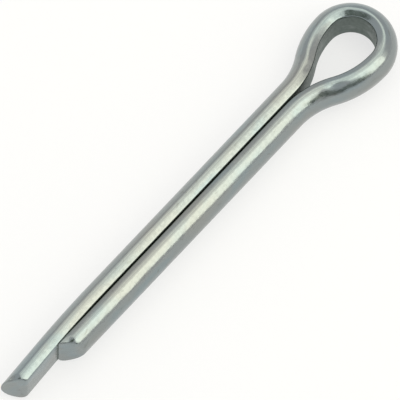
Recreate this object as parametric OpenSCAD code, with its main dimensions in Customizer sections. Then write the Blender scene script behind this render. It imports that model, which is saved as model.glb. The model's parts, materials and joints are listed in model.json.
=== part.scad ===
// Cotter pin: one length of half-round wire, folded back on itself round a teardrop
// eye, so that its two flats lie face to face and its backs make up a round shank.
// One leg is longer, so that the legs can be pried apart once the pin is home.
//
// Frame: X runs along the shank, toward the eye. Y points to the long leg's side, and
// Z is square to the plane of the eye. The origin is on the axis of the shank.

/* [Wire] */
// Diameter of the closed shank, over both legs
shank_d = 5.9; // [5.6:0.05:6.2]
// Gap left between the flats of the two legs
leg_gap = 0.16; // [0.1:0.02:0.3]
// Radius that rounds the two edges of the half-round wire
edge_r = 0.64; // [0.4:0.02:0.7]

/* [Legs] */
// Reach of the short leg's flat, from the origin to the cut
short_reach = 24.4; // [20:0.2:28]
// How much further along the shank the long leg's flat reaches
prong_extra = 6.75; // [4:0.05:9]
// Distance from the short leg's cut back to where the long leg starts to bend
bend_lead = 9.8; // [6:0.2:13]
// Radius of the long leg's bend, toward the short leg's side
bend_r = 188; // [150:2:250]
// Angle through which the long leg bends
bend_angle = 3.3; // [2:0.1:3.6]

/* [Eye] */
// Distance from the origin to the middle of the eye's crown
crown_x = 35.9; // [33:0.1:40]
// Inner radius of the crown
crown_r = 3.37; // [3:0.01:3.8]
// Offset of the crown from the axis, toward the short leg
crown_shift = 0.47; // [0:0.01:0.6]
// Angle to which the wire opens on the long leg's side
long_flare = 29.2; // [27:0.1:31]
// Angle to which the wire opens on the short leg's side
short_flare = 31.9; // [30:0.1:34]
// Radius at the foot of the neck on the long leg's side
long_neck_r = 12.2; // [8:0.1:14]
// Radius at the foot of the neck on the short leg's side
short_neck_r = 13.4; // [8:0.1:16]

/* [Ends] */
// Angle at which the shear cut both ends, in the plane of the eye
cut_slant = 40; // [20:1:45]

/* [Hidden] */

$fn = 96;
wire_r = shank_d / 2;
half_gap = leg_gap / 2;
// Larger than the section, for blocks that cut or bound it
clear = 3 * shank_d;

// Distance of a rounded edge's centre from the middle of the flat
edge_y = sqrt(pow(wire_r - edge_r, 2) - pow(edge_r + half_gap, 2));
// Direction from the back's centre to where the back runs into a rounded edge
run_in = atan2(edge_y, edge_r + half_gap);
// Chords that make up a rounded edge, and how far the last one pokes past the back
edge_steps = 9;
poke = 0.03;
// Length by which two halves of a straight stretch overlap
overlap = 2;

// Points round one edge, from the flat to just past the back
function edge_points() = [for (i = [0:edge_steps])
    let (turn = 180 - i * (180 - run_in) / edge_steps,
         r = i < edge_steps ? edge_r : edge_r + poke)
    [edge_r + r * cos(turn), edge_y + r * sin(turn)]];

// The same points mirrored to the other edge, in the order that goes on round
function flipped(points) = [for (i = [len(points) - 1:-1:0]) [points[i][0], -points[i][1]]];

// Section of the wire: the flat lies on x = 0 and the round back faces +x
module wire_section() {
    upper_half = concat(edge_points(), [clear * [cos(run_in), sin(run_in)], [clear, clear]]);
    intersection() {
        translate([-half_gap, 0]) circle(r = wire_r);
        polygon(concat(upper_half, flipped(upper_half)));
    }
}

// Moves its children by v in two steps, the first a whole number of thousandths, so that
// no digit is lost and the bends meet face to face
module place(v) {
    whole = [for (c = v) round(c * 1000) / 1000];
    translate(whole) translate(v - whole) children();
}

// Straight wire along +X from the origin, with its flat on y = 0 and its back on the +y side
module straight(length) {
    rotate([90, 0, 90]) linear_extrude(length) wire_section();
}

// Straight wire from the point (x, half_gap) back toward the tips
module run_to_tips(x, length) {
    place([x, half_gap, 0]) mirror([1, 0, 0]) straight(length);
}

// Bend whose centre is on the flat's side of the wire, so that the back is on the outside
module bend_over_flat(centre, r, start, angle) {
    place([centre[0], centre[1], 0])
        rotate_extrude(angle = angle, start = start) place([r, 0]) wire_section();
}

// Bend whose centre is on the back's side of the wire, so that the flat is on the outside
module bend_over_back(centre, r, start, angle) {
    place([centre[0], centre[1], 0])
        rotate_extrude(angle = angle, start = start) place([r, 0]) mirror([1, 0]) wire_section();
}

// One side of the eye widens from the flat of the leg to the crown by two equal and
// opposite bends, so its length depends only on how far it widens and on its angle.
function widening(shift) = crown_r + shift - half_gap;
function neck_start(shift, flare) = crown_x - widening(shift) / tan(flare / 2);
function shoulder_r(shift, flare, neck_r) = widening(shift) / (1 - cos(flare)) - neck_r;

// Neck and shoulder of one side of the eye, on the +y side
module eye_side(shift, flare, neck_r) {
    start = neck_start(shift, flare);
    shoulder = shoulder_r(shift, flare, neck_r);
    bend_over_back([start, half_gap + neck_r], neck_r, 270, flare);
    bend_over_flat([crown_x, crown_r + shift - shoulder], shoulder, 90, flare);
}

// Block that takes away what lies beyond an end cut through the point (x, y)
module beyond_cut(x, y) {
    translate([x, y, 0]) rotate([0, 0, cut_slant])
        translate([-2 * clear, -clear, -clear]) cube(2 * clear);
}

// Short leg, drawn on the +y side
module short_leg() {
    difference() {
        run_to_tips(neck_start(crown_shift, short_flare), crown_x + short_reach);
        mirror([0, 1, 0]) beyond_cut(-short_reach, -half_gap);
    }
    eye_side(crown_shift, short_flare, short_neck_r);
}

// Long leg, with its prong bent toward the short leg's side. Its straight stretch is
// drawn from the joint at each end, and the two halves overlap just past the origin.
module long_leg() {
    bend_x = bend_lead - short_reach;
    neck_x = neck_start(-crown_shift, long_flare);
    bent_x = bend_x - bend_r * sin(bend_angle);
    bent_y = half_gap - bend_r * (1 - cos(bend_angle));
    tip_x = -short_reach - prong_extra;
    tip_y = bent_y + (tip_x - bent_x) * tan(bend_angle);
    run_to_tips(neck_x, neck_x + overlap);
    place([bend_x, half_gap, 0]) straight(overlap - bend_x);
    difference() {
        union() {
            bend_over_flat([bend_x, half_gap - bend_r], bend_r, 90, bend_angle);
            place([bent_x, bent_y, 0])
                rotate([0, 0, bend_angle]) mirror([1, 0, 0]) straight(prong_extra + clear);
        }
        beyond_cut(tip_x, tip_y);
    }
    eye_side(-crown_shift, long_flare, long_neck_r);
}

module cotter_pin() color("#a9b3af") {
    long_leg();
    mirror([0, 1, 0]) short_leg();
    bend_over_flat([crown_x, -crown_shift], crown_r, 270, 180);
}

cotter_pin();
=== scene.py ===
"""Cotter pin: half-round steel wire folded round a teardrop eye, zinc plated, on a pale floor."""

import json
import math

import bmesh
import bpy
from bpy.props import FloatProperty, FloatVectorProperty, IntProperty, PointerProperty
from bpy.types import Operator, Panel, PropertyGroup
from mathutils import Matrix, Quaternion, Vector

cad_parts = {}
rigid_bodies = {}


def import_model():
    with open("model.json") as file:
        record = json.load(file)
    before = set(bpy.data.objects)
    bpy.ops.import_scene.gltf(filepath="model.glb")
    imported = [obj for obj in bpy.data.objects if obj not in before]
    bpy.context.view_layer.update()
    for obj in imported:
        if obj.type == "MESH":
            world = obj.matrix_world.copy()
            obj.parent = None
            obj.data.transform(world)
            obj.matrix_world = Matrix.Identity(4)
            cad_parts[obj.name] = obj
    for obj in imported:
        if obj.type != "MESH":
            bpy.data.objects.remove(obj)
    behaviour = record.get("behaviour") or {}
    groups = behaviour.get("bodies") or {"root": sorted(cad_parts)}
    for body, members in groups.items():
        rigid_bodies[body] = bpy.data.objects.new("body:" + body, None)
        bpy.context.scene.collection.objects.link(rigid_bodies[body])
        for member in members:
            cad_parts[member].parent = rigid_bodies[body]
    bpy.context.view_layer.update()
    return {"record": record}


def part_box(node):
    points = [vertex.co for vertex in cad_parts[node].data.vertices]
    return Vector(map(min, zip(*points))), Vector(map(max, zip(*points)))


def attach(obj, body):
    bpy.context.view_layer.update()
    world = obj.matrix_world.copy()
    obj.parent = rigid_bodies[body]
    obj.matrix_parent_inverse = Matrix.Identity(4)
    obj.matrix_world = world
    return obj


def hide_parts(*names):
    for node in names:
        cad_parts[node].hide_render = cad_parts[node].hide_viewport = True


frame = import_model()

bl_info = {
    "name": "Cotter pin",
    "version": (1, 0, 0),
    "blender": (4, 5, 0),
    "location": "3D View > Sidebar > Cotter Pin",
    "description": "Bends a cotter pin from half-round wire and lights it on a pale floor",
    "category": "Add Mesh",
}

MM = 0.001
TINY = 0.001 * MM
NODE = "cotter_pin"
SHANK = next(mount for mount in frame["record"]["mounts"] if mount["name"] == "shank")
BOX_LOW, BOX_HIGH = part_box(NODE)


def srgb(code):
    """Linear RGB of an sRGB hex colour such as #8090a0."""
    channels = [int(code[i : i + 2], 16) / 255 for i in (1, 3, 5)]
    return tuple(c / 12.92 if c <= 0.04045 else ((c + 0.055) / 1.055) ** 2.4 for c in channels)


def length(name, description, default_mm):
    """A length property whose default is given in millimetres."""
    return FloatProperty(
        name=name,
        description=description,
        default=default_mm * MM,
        subtype="DISTANCE",
        unit="LENGTH",
        precision=5,
    )


def angle(name, description, degrees):
    """An angle property whose default is given in degrees."""
    return FloatProperty(
        name=name,
        description=description,
        default=math.radians(degrees),
        subtype="ANGLE",
        unit="ROTATION",
    )


def colour(name, description, code):
    """A colour property whose default is an sRGB hex colour."""
    return FloatVectorProperty(
        name=name, description=description, default=srgb(code), subtype="COLOR", min=0, max=1
    )


class PinSizes(PropertyGroup):
    """Sizes of the wire and of its bends"""

    shank_r: length("Shank radius", "Radius of the closed shank", SHANK["dims"]["r_mm"])
    leg_gap: length("Leg gap", "Gap between the flats of the two legs", 0.16)
    edge_r: length("Lower edge radius", "Rounding of the wire's lower edge", 0.65)
    bevel_tilt: angle("Bevel tilt", "Slope of the bevel along the wire's upper edge", 25)
    corner_r: length("Corner radius", "Rounding between the flat and the bevel", 0.38)
    crest_r: length("Crest radius", "Rounding between the bevel and the back", 0.75)
    back_from: length("Back from", "Distance from the pin's mid plane to the back's round", 1.55)
    long_flare: angle("Long flare", "Angle to which the long leg's side of the eye opens", 29.2)
    short_flare: angle("Short flare", "Angle to which the short leg's side opens", 31.9)
    long_neck_r: length("Long neck radius", "Bend at the foot of the long leg's side", 12.2)
    short_neck_r: length("Short neck radius", "Bend at the foot of the short leg's side", 13.4)
    short_reach: length("Short reach", "Reach of the short leg's flat from the origin", 24.4)
    prong_extra: length("Prong", "How much further the long leg's flat reaches", 6.75)
    bend_lead: length("Bend lead", "From the short leg's end back to the long leg's bend", 9.8)
    bend_r: length("Bend radius", "Radius of the long leg's bend across the short one", 188)
    bend_angle: angle("Bend", "Angle of the long leg's bend", 3.3)
    cut_slant: angle("Cut slant", "Slant of both sheared ends in the plane of the eye", 40)
    cut_round: length("Cut rounding", "Rounding left round each end by shearing and plating", 0.27)
    ring_step: length("Ring step", "Distance between rings of the mesh along the legs", 0.8)
    bend_step: length("Bend step", "Longest distance between rings of the mesh in bends", 0.45)
    arc_steps: IntProperty(
        name="Arc steps", description="Steps of the mesh in each quarter turn", default=40, min=8
    )


class PinFinish(PropertyGroup):
    """Colours of the plating, and the painted shade on the wire's flat"""

    zinc: colour("Zinc", "Zinc plate with a clear blue passivation", "#929897")
    zinc_blue: colour("Blue cast", "Where the passivation is thicker", "#8d989a")
    zinc_warm: colour("Warm cast", "Where the passivation is thinner", "#959895")
    scuffed: colour("Scuffed", "Where the barrel has scuffed the plating", "#7f837f")
    # Painted shade: this darker, greener colour on the flat stands in for the shade inside the eye
    # and in the gap between the legs
    flat: colour("Flat", "The wire's flat, which stays dull and greenish", "#6c7671")


class StudioLook(PropertyGroup):
    """Floor, lamps and camera"""

    paper: colour("Paper", "Colour of the floor", "#fbfbfa")
    glow: FloatProperty(
        name="Glow", description="Share of the paper that is plain white", default=0.68, min=0, max=1
    )
    surround: colour("Surround", "Colour of the room round the lamps", "#e9e7e7")
    card: colour("Card", "Colour of the low card on the short leg's side", "#8b908c")
    camera_card: colour("Camera card", "Colour of the card over the camera", "#868c85")
    lamp: colour("Lamps", "Colour of the softboxes", "#fdfce8")
    lamp_radiance: FloatProperty(
        name="Lamp radiance", description="Radiance of the softboxes' faces", default=1.6, min=0
    )
    azimuth: angle("Azimuth", "Side that the camera looks from, from -Y toward -X", 50.62)
    elevation: angle("Elevation", "Height of the camera above the horizon", 62.91)
    roll: angle("Roll", "Turn of the camera about its line of sight", 0.88)
    aim_x: length("Aim", "Point on the shank at the middle of the view", 5.16)
    aim_y: length("Aim aside", "Its distance toward the long leg", 0.06)
    field: length("Field", "Width of the view at the pin", 53.3)
    distance: length("Distance", "Distance from the camera to the pin", 2400)


# ---------------------------------------------------------------------------------------
# The wire's course: the line of its flat in the plane of the eye, from the short leg's
# end round to the long leg's. The back is always on the right of this line.


class Stretch:
    """A straight run, or a bend about a centre, of the line of the flat."""

    def __init__(self, start, heading, run=0.0, turn=0.0, radius=0.0):
        self.start, self.heading = Vector(start), heading
        self.run, self.turn, self.radius = run, turn, radius
        ahead = Vector((math.cos(heading), math.sin(heading)))
        left = Vector((-ahead.y, ahead.x))
        self.ahead, self.left = ahead, left
        if turn:
            self.centre = self.start + left * math.copysign(radius, turn)
            self.length = abs(turn) * radius
            out = self.start - self.centre
            cos, sin = math.cos(turn), math.sin(turn)
            self.end = self.centre + Vector((out.x * cos - out.y * sin, out.x * sin + out.y * cos))
        else:
            self.length = run
            self.end = self.start + ahead * run

    def place(self, point):
        """(distance along, distance to the right) of a point, and how far it is past the ends."""
        off = Vector(point) - self.start
        if not self.turn:
            along = off.dot(self.ahead)
            return along, -off.dot(self.left), max(0.0, -along, along - self.run)
        side = math.copysign(1.0, self.turn)
        out = Vector(point) - self.centre
        first = self.start - self.centre
        swept = math.atan2(first.cross(out), first.dot(out)) * side
        along = swept * self.radius
        right = (out.length - self.radius) * side
        return along, right, max(0.0, -along, along - self.length)


def wire_course(sizes):
    """The stretches of the wire, with the ends running on past where they are cut."""
    half_gap = sizes.leg_gap / 2
    thick = sizes.shank_r - half_gap
    outer = (BOX_HIGH.y - BOX_LOW.y) / 2
    crown_r = outer - thick
    shift = -(BOX_HIGH.y + BOX_LOW.y) / 2
    crown_x = BOX_HIGH.x - outer
    spare = 2 * thick

    def side(wide, flare, neck_r):
        """Where one side of the eye starts to open, and the radius of its shoulder."""
        return crown_x - wide / math.tan(flare / 2), wide / (1 - math.cos(flare)) - neck_r

    short_x, short_shoulder = side(
        crown_r + shift - half_gap, sizes.short_flare, sizes.short_neck_r
    )
    long_x, long_shoulder = side(crown_r - shift - half_gap, sizes.long_flare, sizes.long_neck_r)
    first_x = -sizes.short_reach - spare
    bend_x = sizes.bend_lead - sizes.short_reach
    plan = [
        dict(run=short_x - first_x),
        dict(turn=-sizes.short_flare, radius=sizes.short_neck_r),
        dict(turn=sizes.short_flare, radius=short_shoulder),
        dict(turn=math.pi, radius=crown_r),
        dict(turn=sizes.long_flare, radius=long_shoulder),
        dict(turn=-sizes.long_flare, radius=sizes.long_neck_r),
        dict(run=long_x - bend_x),
        dict(turn=sizes.bend_angle, radius=sizes.bend_r),
        dict(run=sizes.prong_extra + spare),
    ]
    course = []
    start, heading = Vector((first_x, -half_gap)), 0.0
    for step in plan:
        stretch = Stretch(start, heading, **step)
        course.append(stretch)
        start, heading = stretch.end, heading + stretch.turn
    return course


# ---------------------------------------------------------------------------------------
# Modelling

# Cuts across the flat, so that its edges are about as long as the others of the section
FLAT_CUTS = 13
# Steps round the parts of the section, as shares of the steps in a quarter turn
CORNER_SHARE = 0.15
CREST_SHARE = 0.25
BACK_SHARE = 1.2
LOWER_EDGE_SHARE = 0.35
# Rings of the mesh behind each cut
END_RINGS = 8
END_RING_STEP = 0.25 * MM
# Steps across the rounded rim of a cut
RIM_STEPS = 4
# Where the short leg's evenly spaced rings start, clear of the rings behind its cut
LEG_RINGS_FROM = -18 * MM
# Places in the course of the straight runs of the two legs
SHORT_LEG, LONG_LEG = 0, 6
# Edges that turn less than this are shaded smooth
SMOOTH_BELOW = math.radians(35)

# Marks of the forming tools: where, how far the middle moves, and how wide, in millimetres
PRESS_MARKS = (
    # Foot of the short leg's side of the eye, where the tool kinked the wire
    ((29.1, -3.7, 2.35), (0.02, 0.05, -0.11), 1.6),
    ((26.9, -3.1, 1.9), (0.01, 0.05, -0.03), 1.2),
    # Foot of the long leg's side
    ((28.5, 1.7, 2.6), (0.0, -0.02, -0.06), 1.1),
    ((29.6, 2.6, 2.4), (0.0, -0.03, -0.03), 1.1),
    # Crown
    ((38.2, 2.6, 2.7), (0.0, 0.0, -0.06), 1.3),
    ((39.6, 1.2, 2.6), (-0.02, 0.0, -0.04), 1.2),
    # Ends, whose upper rims were rolled over by the shear
    ((-23.35, -1.4, 2.6), (0.06, 0.0, -0.24), 1.1),
    ((-32.3, 0.6, 2.6), (0.06, 0.0, -0.24), 1.1),
    # Rounded end of the prong
    ((-32.15, 1.2, 2.1), (0.05, 0.0, -0.06), 0.5),
)


def deselect_all():
    """Deselects every object, so that operators act only on what is chosen next."""
    for obj in bpy.data.objects:
        obj.select_set(False)


def choose(obj, test, kind="verts"):
    """Selects the vertices, edges or faces of obj, in edit mode, that pass the test."""
    mesh = bmesh.from_edit_mesh(obj.data)
    for part in (*mesh.verts, *mesh.edges, *mesh.faces):
        part.select = False
    for part in getattr(mesh, kind):
        if test(part):
            part.select_set(True)
    mesh.select_flush_mode()
    bmesh.update_edit_mesh(obj.data)


def spin(turn, steps, centre, axis=(0, 0, 1)):
    """Draws the selection round centre, anticlockwise seen from the axis's head."""
    bpy.ops.mesh.spin(steps=steps, angle=-turn, center=centre, axis=axis)


def draw_section(sizes, x):
    """Draws the wire's section at x, flat toward the other leg, and fills it.

    The upper edge has a small round at the flat, a bevel, and a crest that runs into the
    back. The lower edge is one round from the flat to the back.
    """
    half_gap = sizes.leg_gap / 2
    tilt, corner_r, crest_r = sizes.bevel_tilt, sizes.corner_r, sizes.crest_r
    crest_turn = math.asin(sizes.back_from / sizes.shank_r)
    crest_y = (sizes.shank_r - crest_r) * math.sin(crest_turn)
    crest_z = (sizes.shank_r - crest_r) * math.cos(crest_turn)
    corner_y = half_gap + corner_r
    bevel_y = (crest_y - crest_r * math.sin(tilt)) - (corner_y - corner_r * math.sin(tilt))
    bevel_z = bevel_y * math.tan(tilt)
    corner_z = crest_z + (crest_r - corner_r) * math.cos(tilt) - bevel_z
    lower_y = half_gap + sizes.edge_r
    lower_z = math.sqrt((sizes.shank_r - sizes.edge_r) ** 2 - lower_y**2)
    lower_turn = math.atan2(lower_y, lower_z)
    flat_width = corner_z + lower_z
    bpy.ops.mesh.primitive_plane_add(
        size=flat_width,
        location=(x, -half_gap - flat_width / 2, (corner_z - lower_z) / 2),
        rotation=(0, math.pi / 2, 0),
    )
    wire = bpy.context.object
    bpy.ops.object.transform_apply(location=True, rotation=True, scale=True)
    bpy.ops.object.mode_set(mode="EDIT")
    bpy.ops.mesh.select_mode(type="VERT")
    choose(wire, lambda v: v.co.y < -half_gap - flat_width / 2)
    bpy.ops.mesh.delete(type="VERT")
    bpy.ops.mesh.select_all(action="SELECT")
    bpy.ops.mesh.subdivide(number_cuts=FLAT_CUTS)
    choose(wire, lambda v: v.co.z > corner_z - TINY)
    round_x = (1, 0, 0)
    quarter = sizes.arc_steps
    corner = (x, -corner_y, corner_z)
    spin(math.pi / 2 - tilt, round(quarter * CORNER_SHARE), corner, round_x)
    draw_edge((0, -bevel_y, bevel_z))
    crest = (x, -crest_y, crest_z)
    spin(tilt + crest_turn, round(quarter * CREST_SHARE), crest, round_x)
    back_turn = math.pi - crest_turn - lower_turn
    spin(back_turn, round(quarter * BACK_SHARE), (x, 0, 0), round_x)
    lower_edge = (x, -lower_y, -lower_z)
    spin(math.pi / 2 + lower_turn, round(quarter * LOWER_EDGE_SHARE), lower_edge, round_x)
    bpy.ops.mesh.select_all(action="SELECT")
    bpy.ops.mesh.remove_doubles(threshold=TINY)
    bpy.ops.mesh.select_all(action="SELECT")
    bpy.ops.mesh.edge_face_add()
    return wire


def draw_edge(move):
    """Draws two equal edges from the selected vertex, which end at its place moved by move."""
    for _ in range(2):
        bpy.ops.mesh.extrude_region_move(TRANSFORM_OT_translate={"value": Vector(move) / 2})


def draw_stretch(stretch, sizes):
    """Draws the filled section, which is selected, along one stretch."""
    if stretch.turn:
        by_angle = sizes.arc_steps * abs(stretch.turn) / (math.pi / 2)
        steps = round(max(by_angle, stretch.length / sizes.bend_step))
        spin(stretch.turn, steps, (*stretch.centre, 0))
    else:
        move = (*(stretch.ahead * stretch.run), 0)
        bpy.ops.mesh.extrude_region_move(TRANSFORM_OT_translate={"value": move})


def draw_wire(wire, course, cuts, sizes):
    """Draws the wire along its course. Its first end is cut while the rest isn't there yet."""
    first, rest = course[0], course[1:]
    draw_stretch(first, sizes)
    cut_end(wire, cuts[0], sizes.cut_round)
    choose(wire, lambda f: all(abs(v.co.x - first.end.x) < TINY for v in f.verts), "faces")
    for stretch in rest:
        draw_stretch(stretch, sizes)
    cut_end(wire, cuts[1], sizes.cut_round)


def cut_end(wire, cut, rounding):
    """Shears off what is in front of the cut's plane, and rounds the new rim."""
    point, facing = cut
    choose(wire, lambda f: any((v.co - point).dot(facing) > 0 for v in f.verts), "faces")
    bpy.ops.mesh.bisect(plane_co=point, plane_no=facing, use_fill=True, clear_outer=True)
    for index in range(1, END_RINGS + 1):
        bpy.ops.mesh.select_all(action="SELECT")
        ring = point - facing * (rounding + index * END_RING_STEP)
        bpy.ops.mesh.bisect(plane_co=ring, plane_no=facing)

    def on_plane(vert):
        return abs((vert.co - point).dot(facing)) < TINY

    choose(wire, lambda e: on_plane(e.verts[0]) and on_plane(e.verts[1]), "edges")
    bpy.ops.mesh.bevel(
        offset=rounding, offset_type="OFFSET", segments=RIM_STEPS, profile=0.5, affect="EDGES"
    )
    # A narrow ring inside the rim keeps the shading of the cut flat
    choose(wire, lambda f: all(on_plane(v) for v in f.verts), "faces")
    bpy.ops.mesh.inset(thickness=0.1 * rounding)


def press(wire, mark):
    """Presses a soft dent into the wire: (point, move of its middle, radius) in millimetres."""
    point, move, radius = mark
    point = Vector(point) * MM
    mesh = bmesh.from_edit_mesh(wire.data)
    nearest = min(mesh.verts, key=lambda v: (v.co - point).length).co.copy()
    choose(wire, lambda v: v.co == nearest)
    bpy.ops.transform.translate(
        value=Vector(move) * MM,
        use_proportional_edit=True,
        use_proportional_connected=True,
        proportional_edit_falloff="SMOOTH",
        proportional_size=radius * MM,
    )


def cut_rings(wire, first_x, last_x, step, side):
    """Cuts one leg's straight run, on the +y (1) or -y (-1) side, into rings."""
    for index in range(1, int((last_x - first_x) / step)):
        x = first_x + index * step
        choose(
            wire,
            lambda f: f.calc_center_median().y * side > 0
            and min(v.co.x for v in f.verts) < x < max(v.co.x for v in f.verts),
            "faces",
        )
        bpy.ops.mesh.bisect(plane_co=(x, 0, 0), plane_no=(1, 0, 0))


def unrolled(course, cuts, point):
    """Where a point of the bent wire was in the straight wire: along, out from the flat, up.

    The prong lies across the line on which the short leg's run goes on past its cut, so
    that run is out of the question for points beyond the cut.
    """
    best, travelled = None, 0.0
    short_point, short_facing = cuts[0]
    past_short_leg = (point - short_point).dot(short_facing) > TINY
    for stretch in course:
        along, right, past = stretch.place(point.xy)
        miss = past + max(0.0, -right)
        if past_short_leg and stretch is course[SHORT_LEG]:
            miss += stretch.length
        if best is None or miss < best[0]:
            best = (miss, (travelled + along, right, point.z))
        travelled += stretch.length
    return best[1]


def end_cuts(course, sizes):
    """(point on the flat, direction that the cut faces) for the short and the long leg."""
    prong = course[-1]
    tip_x = -sizes.short_reach - sizes.prong_extra
    tip_y = prong.start.y + (tip_x - prong.start.x) * math.tan(prong.heading)
    facing = Vector((-math.cos(sizes.cut_slant), -math.sin(sizes.cut_slant), 0))
    short_point = Vector((-sizes.short_reach, -sizes.leg_gap / 2, 0))
    return (short_point, facing), (Vector((tip_x, tip_y, 0)), facing)


class COTTERPIN_OT_bend_wire(Operator):
    """Draw half-round wire round the eye, shear its two ends and give it its plating"""

    bl_idname = "cotterpin.bend_wire"
    bl_label = "Bend Wire"

    def execute(self, context):
        sizes = context.scene.pin_sizes
        course = wire_course(sizes)
        deselect_all()
        cuts = end_cuts(course, sizes)
        wire = draw_section(sizes, course[0].start.x)
        draw_wire(wire, course, cuts, sizes)
        bpy.ops.mesh.select_all(action="SELECT")
        bpy.ops.mesh.remove_doubles(threshold=TINY)
        bpy.ops.mesh.select_all(action="SELECT")
        bpy.ops.mesh.normals_make_consistent(inside=False)
        short_leg, long_leg = course[SHORT_LEG], course[LONG_LEG]
        cut_rings(wire, LEG_RINGS_FROM, short_leg.end.x, sizes.ring_step, -1)
        cut_rings(wire, long_leg.end.x, long_leg.start.x, sizes.ring_step, 1)
        for mark in PRESS_MARKS:
            press(wire, mark)
        bpy.ops.object.mode_set(mode="OBJECT")
        wire.name = wire.data.name = "bent_wire"
        bpy.ops.object.shade_smooth_by_angle(angle=SMOOTH_BELOW)
        places = wire.data.attributes.new("straight_wire", "FLOAT_VECTOR", "POINT")
        for vert, place in zip(wire.data.vertices, places.data):
            place.vector = unrolled(course, cuts, vert.co)
        bare_from = unrolled(course, cuts, cuts[1][0])[0] - sizes.prong_extra
        wire.data.materials.append(zinc_plate(context.scene.pin_finish, bare_from))
        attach(wire, "root")
        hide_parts(NODE)
        wire.select_set(False)
        return {"FINISHED"}


# ---------------------------------------------------------------------------------------
# Materials


def add_node(tree, kind, inputs=None, **settings):
    """Adds a node. inputs gives a value, or the socket that feeds it, for each input by name."""
    node = tree.nodes.new(kind)
    for name, value in settings.items():
        setattr(node, name, value)
    for name, value in (inputs or {}).items():
        if isinstance(value, bpy.types.NodeSocket):
            tree.links.new(value, node.inputs[name])
        else:
            node.inputs[name].default_value = value
    return node


def new_material(name):
    """A material with an empty node tree, its tree and its output node."""
    material = bpy.data.materials.new(name)
    material.use_nodes = True
    tree = material.node_tree
    tree.nodes.clear()
    return material, tree, tree.nodes.new("ShaderNodeOutputMaterial")


def noise(tree, vector, sizes, detail=2.0):
    """Noise whose spots are about sizes (along, out from the flat, up) apart, in millimetres."""
    stretched = add_node(
        tree,
        "ShaderNodeVectorMath",
        {0: vector, 1: tuple(0.5 / (size * MM) for size in sizes)},
        operation="MULTIPLY",
    ).outputs["Vector"]
    return add_node(
        tree, "ShaderNodeTexNoise", {"Vector": stretched, "Scale": 1.0, "Detail": detail}
    ).outputs["Fac"]


def ramp(tree, value, low, high, to_low=0.0, to_high=1.0):
    """value mapped from low..high to to_low..to_high with soft ends."""
    return add_node(
        tree,
        "ShaderNodeMapRange",
        {
            "Value": value,
            "From Min": low,
            "From Max": high,
            "To Min": to_low,
            "To Max": to_high,
        },
        interpolation_type="SMOOTHSTEP",
    ).outputs["Result"]


def blend(tree, factor, first, second):
    """Colour that goes from first to second with factor."""
    mix = add_node(
        tree, "ShaderNodeMix", {"Factor": factor}, data_type="RGBA", clamp_factor=True
    )
    for socket, value in zip([s for s in mix.inputs if s.type == "RGBA"], (first, second)):
        if isinstance(value, bpy.types.NodeSocket):
            tree.links.new(value, socket)
        else:
            socket.default_value = (*value, 1)
    return next(s for s in mix.outputs if s.type == "RGBA")


def zinc_plate(finish, bare_from):
    """Drawn steel wire, barrel plated with zinc and passivated clear.

    To the eye it is a bright, slightly satin grey metal with a faint blue and straw cast.
    Its highlights have soft, ragged edges, as the wire isn't quite even. The flat is painted darker
    and greener, as painted shade for the inside of the eye and the gap between the legs, and it is
    duller, being rougher. The prong's flat, which starts bare_from along the wire, gets no painted
    shade and is bright like the back.
    """
    material, tree, output = new_material("zinc_plated_wire")
    place = add_node(tree, "ShaderNodeAttribute", attribute_name="straight_wire").outputs["Vector"]
    parts = add_node(tree, "ShaderNodeSeparateXYZ", {"Vector": place}).outputs

    # Casts of the passivation, in patches some 5 mm long and 2 mm across
    casts = noise(tree, place, (5, 2, 2), 3.0)
    colour = blend(tree, ramp(tree, casts, 0.35, 0.5), finish.zinc_blue, finish.zinc)
    colour = blend(tree, ramp(tree, casts, 0.5, 0.65), colour, finish.zinc_warm)
    # Scuffs from the barrel, about half a millimetre across and a little darker
    scuffs = ramp(tree, noise(tree, place, (0.6, 0.35, 0.35), 4.0), 0.6, 0.75, 0.0, 0.6)
    colour = blend(tree, scuffs, colour, finish.scuffed)
    # The painted shade on the flat ends unevenly at its corners, within two tenths of a millimetre,
    # and it fades where the prong starts
    ragged = add_node(
        tree,
        "ShaderNodeMath",
        {0: noise(tree, place, (1.5, 0.8, 0.8)), 1: 0.2 * MM, 2: parts["Y"]},
        operation="MULTIPLY_ADD",
    ).outputs["Value"]
    flat = add_node(
        tree,
        "ShaderNodeMath",
        {
            0: ramp(tree, ragged, 0.1 * MM, 0.2 * MM, 1.0, 0.0),
            1: ramp(tree, parts["X"], bare_from - 0.6 * MM, bare_from + 0.6 * MM, 1.0, 0.1),
        },
        operation="MULTIPLY",
    ).outputs["Value"]
    # Painted shade: the flat is blended toward the darker flat colour
    colour = blend(tree, flat, colour, finish.flat)

    # Grain of the plating. The real one, some hundredths of a millimetre, is too fine to
    # show, so it is drawn at a quarter of a millimetre.
    grain = noise(tree, place, (0.25, 0.25, 0.25))
    rough = add_node(
        tree,
        "ShaderNodeMath",
        {0: flat, 1: 0.3, 2: ramp(tree, grain, 0.3, 0.7, 0.15, 0.26)},
        operation="MULTIPLY_ADD",
    ).outputs["Value"]
    # Relief, with its depth in millimetres
    relief = None
    for height, depth in (
        # Waves of the drawn wire, about 3 mm long
        (noise(tree, place, (3, 0.9, 0.9), 3.0), 0.07),
        # Drawing lines. The real ones are too fine to show, so they are 0.15 mm apart.
        (noise(tree, place, (6, 0.15, 0.15), 3.0), 0.002),
        (grain, 0.006),
    ):
        inputs = {"Height": height, "Distance": depth * MM}
        if relief:
            inputs["Normal"] = relief
        relief = add_node(tree, "ShaderNodeBump", inputs).outputs["Normal"]
    shader = add_node(
        tree,
        "ShaderNodeBsdfPrincipled",
        {"Base Color": colour, "Metallic": 1.0, "Roughness": rough, "Normal": relief},
    )
    tree.links.new(shader.outputs["BSDF"], output.inputs["Surface"])
    return material


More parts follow.
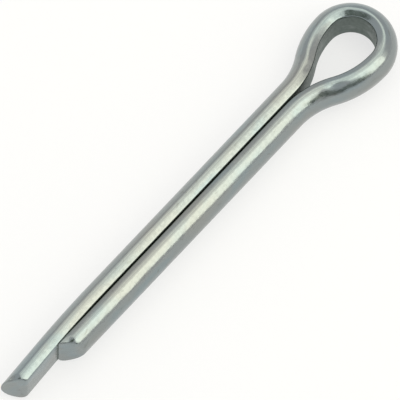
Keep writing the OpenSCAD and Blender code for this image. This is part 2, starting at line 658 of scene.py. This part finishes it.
def white_paper(look):
    """Matt white background paper, which shows a faint shadow and no gloss.

    To the camera and in reflections, a share of it is plain white. That share gives the
    pin no light, and it keeps the shadow faint.
    """
    material, tree, output = new_material("white_paper")
    paper = add_node(
        tree,
        "ShaderNodeBsdfPrincipled",
        {"Base Color": (*look.paper, 1), "Roughness": 0.9, "Specular IOR Level": 0.0},
    ).outputs["BSDF"]
    glow = add_node(tree, "ShaderNodeEmission", {"Color": (1, 1, 1, 1), "Strength": 1.0})
    rays = add_node(tree, "ShaderNodeLightPath").outputs
    seen = rays["Is Camera Ray"]
    for name in ("Is Glossy Ray", "Is Transmission Ray"):
        seen = add_node(
            tree, "ShaderNodeMath", {0: seen, 1: rays[name]}, operation="ADD", use_clamp=True
        ).outputs["Value"]
    share = add_node(
        tree, "ShaderNodeMath", {0: seen, 1: look.glow}, operation="MULTIPLY"
    ).outputs["Value"]
    mixed = add_node(
        tree, "ShaderNodeMixShader", {0: share, 1: paper, 2: glow.outputs["Emission"]}
    ).outputs["Shader"]
    tree.links.new(mixed, output.inputs["Surface"])
    return material


def matt_card(name, colour):
    """Matt cardboard. Its reflection darkens the metal, with soft edges and no gloss."""
    material, tree, output = new_material(name)
    shader = add_node(
        tree,
        "ShaderNodeBsdfPrincipled",
        {"Base Color": (*colour, 1), "Roughness": 0.9, "Specular IOR Level": 0.0},
    )
    tree.links.new(shader.outputs["BSDF"], output.inputs["Surface"])
    return material


# ---------------------------------------------------------------------------------------
# Stage

# Distance from the pin to the lamps and cards
REACH = 0.5
FLOOR_SIZE = 3.0


def toward(azimuth, elevation):
    """Unit vector to a direction: azimuth in degrees from +X toward +Y, elevation likewise."""
    a, e = math.radians(azimuth), math.radians(elevation)
    return Vector((math.cos(e) * math.cos(a), math.cos(e) * math.sin(a), math.sin(e)))


def softbox(look, name, azimuth, elevation, width, height, share):
    """Hangs a rectangular lamp, facing the pin, with a share of the lamps' radiance.

    Its place and its size, as seen from the pin, are in degrees.
    """
    data = bpy.data.lights.new(name, "AREA")
    data.shape = "RECTANGLE"
    data.size = 2 * REACH * math.tan(math.radians(width) / 2)
    data.size_y = 2 * REACH * math.tan(math.radians(height) / 2)
    data.color = look.lamp
    data.energy = share * look.lamp_radiance * math.pi * data.size * data.size_y
    lamp = bpy.data.objects.new(name, data)
    bpy.context.scene.collection.objects.link(lamp)
    direction = toward(azimuth, elevation)
    lamp.location = direction * REACH
    lamp.rotation_mode = "QUATERNION"
    lamp.rotation_quaternion = direction.to_track_quat("Z", "Y")
    lamp.visible_camera = False


def hang_card(name, azimuth, elevation, width, height, material):
    """Hangs a card of width x height metres, facing the pin. It shows only in the metal."""
    bpy.ops.mesh.primitive_plane_add(size=1.0)
    card = bpy.context.object
    card.scale = (width, height, 1)
    card.name = card.data.name = name
    direction = toward(azimuth, elevation)
    card.location = direction * REACH
    card.rotation_mode = "QUATERNION"
    card.rotation_quaternion = direction.to_track_quat("Z", "Y")
    bpy.ops.object.transform_apply(location=True, rotation=True, scale=True)
    card.visible_camera = False
    card.data.materials.append(material)
    card.select_set(False)


class COTTERPIN_OT_set_stage(Operator):
    """Lay the floor and set up the lamps and the camera"""

    bl_idname = "cotterpin.set_stage"
    bl_label = "Set Stage"

    def execute(self, context):
        look = context.scene.pin_studio
        deselect_all()
        bpy.ops.mesh.primitive_plane_add(size=FLOOR_SIZE, location=(0, 0, BOX_LOW.z))
        floor = context.object
        bpy.ops.object.transform_apply(location=True)
        floor.name = floor.data.name = "paper_floor"
        floor.data.materials.append(white_paper(look))
        floor.select_set(False)

        world = bpy.data.worlds.new("pale_room")
        world.use_nodes = True
        world.node_tree.nodes["Background"].inputs["Color"].default_value = (*look.surround, 1)
        context.scene.world = world

        # The near softbox draws the long highlights of the legs, and its fill softens their
        # edges. The other two light the eye.
        softbox(look, "near_softbox", -68, 34, 27, 44, 1.0)
        softbox(look, "near_fill", -64, 46, 40, 66, 0.25)
        softbox(look, "top_softbox", 0, 72, 56, 36, 0.5)
        softbox(look, "far_top_softbox", 60, 44, 34, 36, 0.35)

        # The low card draws the dark line along the short leg's side of the eye, and the
        # camera's card the dark patch at the top of the eye
        hang_card("low_card", -98, 20, 0.34, 0.2, matt_card("grey_card", look.card))
        hang_card("camera_card", -162, 62, 0.44, 0.3, matt_card("dim_card", look.camera_card))

        data = bpy.data.cameras.new("camera")
        data.sensor_width = 36
        data.lens = data.sensor_width * look.distance / look.field
        data.clip_end = 20
        camera = bpy.data.objects.new("camera", data)
        context.scene.collection.objects.link(camera)
        cos = math.cos(look.elevation)
        back = Vector(
            (-math.sin(look.azimuth) * cos, -math.cos(look.azimuth) * cos, math.sin(look.elevation))
        )
        camera.location = Vector((look.aim_x, look.aim_y, 0)) + back * look.distance
        camera.rotation_mode = "QUATERNION"
        level = back.to_track_quat("Z", "Y")
        camera.rotation_quaternion = level @ Quaternion((0, 0, 1), look.roll)
        context.scene.camera = camera
        context.scene.view_settings.view_transform = "Standard"
        return {"FINISHED"}


class COTTERPIN_PT_sidebar(Panel):
    """Sizes, finish and stage of the cotter pin"""

    bl_label = "Cotter Pin"
    bl_idname = "COTTERPIN_PT_sidebar"
    bl_space_type = "VIEW_3D"
    bl_region_type = "UI"
    bl_category = "Cotter Pin"

    def draw(self, context):
        scene = context.scene
        for group, operator in (
            (scene.pin_sizes, COTTERPIN_OT_bend_wire),
            (scene.pin_finish, None),
            (scene.pin_studio, COTTERPIN_OT_set_stage),
        ):
            box = self.layout.box()
            for name in group.__annotations__:
                box.prop(group, name)
            if operator:
                box.operator(operator.bl_idname)


CLASSES = (
    PinSizes,
    PinFinish,
    StudioLook,
    COTTERPIN_OT_bend_wire,
    COTTERPIN_OT_set_stage,
    COTTERPIN_PT_sidebar,
)


def register():
    for cls in CLASSES:
        bpy.utils.register_class(cls)
    bpy.types.Scene.pin_sizes = PointerProperty(type=PinSizes)
    bpy.types.Scene.pin_finish = PointerProperty(type=PinFinish)
    bpy.types.Scene.pin_studio = PointerProperty(type=StudioLook)


def unregister():
    del bpy.types.Scene.pin_sizes
    del bpy.types.Scene.pin_finish
    del bpy.types.Scene.pin_studio
    for cls in reversed(CLASSES):
        bpy.utils.unregister_class(cls)


def main():
    register()
    bpy.ops.cotterpin.bend_wire()
    bpy.ops.cotterpin.set_stage()


if __name__ == "__main__":
    main()
